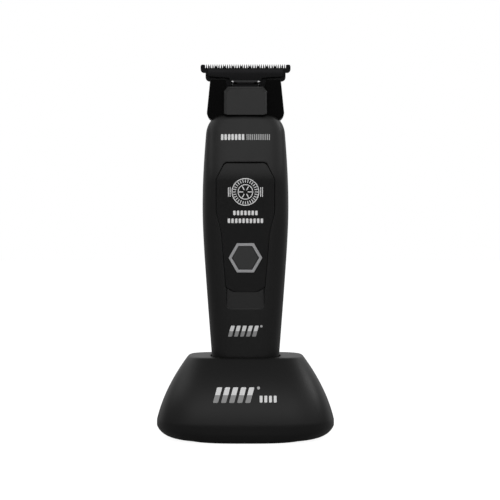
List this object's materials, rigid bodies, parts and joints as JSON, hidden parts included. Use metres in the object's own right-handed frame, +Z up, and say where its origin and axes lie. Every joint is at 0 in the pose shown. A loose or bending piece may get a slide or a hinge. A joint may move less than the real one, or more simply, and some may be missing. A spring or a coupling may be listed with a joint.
{
  "type": "hair trimmer with charging stand",
  "caption": "Cordless T-blade hair trimmer standing upright in its flared charging stand, with a hexagonal power button, a driven cutting blade and a lift-off handle.",
  "frame": {"origin": "centre of the stand's footprint, on the surface that it stands on", "axes": "+Z up, through the handle; -Y to the front, the side with the button; X along the blade"},
  "size_m": [0.0822, 0.0682, 0.1745],
  "materials": {
    "housing": "satin black",
    "panel": "smooth satin black",
    "button_metal": "brushed silver plating",
    "button_cap": "fine matt dark grey",
    "inner_plastic": "plain moulded",
    "acetal": "natural white, waxy",
    "steel": "bright turned",
    "motor_steel": "plated",
    "magnet": "ground",
    "copper": "enamelled winding wire",
    "gold": "gold plating",
    "bronze": "turned",
    "board": "green solder resist",
    "chip": "moulded",
    "cell": "shrink sleeve",
    "carrier": "satin black",
    "cover": "dark grey, semi-matt",
    "blade": "black coated, ground",
    "stand": "satin black",
    "base": "plain moulded black",
    "foot": "matt rubber",
    "ballast": "zinc plated",
    "wire": "polished spring wire"
  },
  "bodies": {
    "stand": {"stand_shell": "stand", "base_plate": "base", "foot_ring": "foot", "stand_screws": "steel", "ballast_bars": "ballast", "stand_board": "board", "usb_socket": "steel", "contact_block": "inner_plastic"},
    "trimmer": {"front_housing": "housing", "rear_housing": "housing", "tail_cap": "inner_plastic", "charge_contacts": "gold", "housing_screws": "steel", "control_panel": "panel", "button_ring": "button_metal", "tactile_switch": "inner_plastic", "control_board": "board", "board_chips": "chip", "board_screws": "steel", "chassis": "inner_plastic", "battery_cell": "cell", "battery_tabs": "steel", "motor_case": "motor_steel", "stator_core": "motor_steel", "stator_coils": "copper", "lower_bearing": "steel", "upper_bearing": "steel", "motor_mount": "steel", "motor_screws": "steel", "lever_pin": "steel", "pin_clip": "steel", "blade_carrier": "carrier", "carrier_screws": "steel", "drive_cover": "cover", "tension_spring": "wire", "fixed_blade": "blade", "blade_screws": "steel"},
    "button": {"power_button": "button_cap", "switch_plunger": "acetal"},
    "rotor": {"rotor_magnet": "magnet", "motor_shaft": "steel", "crank": "bronze", "crank_roller": "steel"},
    "lever": {"drive_lever": "acetal"},
    "cutter": {"moving_blade": "blade", "cutter_follower": "acetal"},
    "left_pin": {"left_charging_pin": "gold", "left_pin_spring": "steel"},
    "right_pin": {"right_charging_pin": "gold", "right_pin_spring": "steel"}
  },
  "joints": [
    {"name": "trimmer_lift", "type": "slide", "parent": "stand", "child": "trimmer", "axis": [0, 0, 1], "range_m": [0, 0.06]},
    {"name": "button_press", "type": "slide", "parent": "trimmer", "child": "button", "axis": [0, 1, 0], "range_m": [0, 0.0008], "stiffness_N_per_m": 1500, "springref_m": -0.0008},
    {"name": "rotor_spin", "type": "hinge", "parent": "trimmer", "child": "rotor", "pos_m": [0, 0, 0.12], "axis": [0, 0, 1], "continuous": true},
    {"name": "lever_swing", "type": "hinge", "parent": "trimmer", "child": "lever", "pos_m": [0, 0, 0.1505], "axis": [0, 1, 0], "range_deg": [-5.73, 5.73]},
    {"name": "cutter_slide", "type": "slide", "parent": "trimmer", "child": "cutter", "axis": [1, 0, 0], "range_m": [-0.00099, 0.00099]},
    {"name": "left_pin_press", "type": "slide", "parent": "stand", "child": "left_pin", "axis": [0, 0, 1], "range_m": [-0.001, 0], "stiffness_N_per_m": 400, "springref_m": 0.0005, "deforming": ["left_pin_spring"]},
    {"name": "right_pin_press", "type": "slide", "parent": "stand", "child": "right_pin", "axis": [0, 0, 1], "range_m": [-0.001, 0], "stiffness_N_per_m": 400, "springref_m": 0.0005, "deforming": ["right_pin_spring"]}
  ],
  "couplings": [
    {"joint": "lever_swing", "follows": "cutter_slide", "rad_per_m": 100}
  ]
}
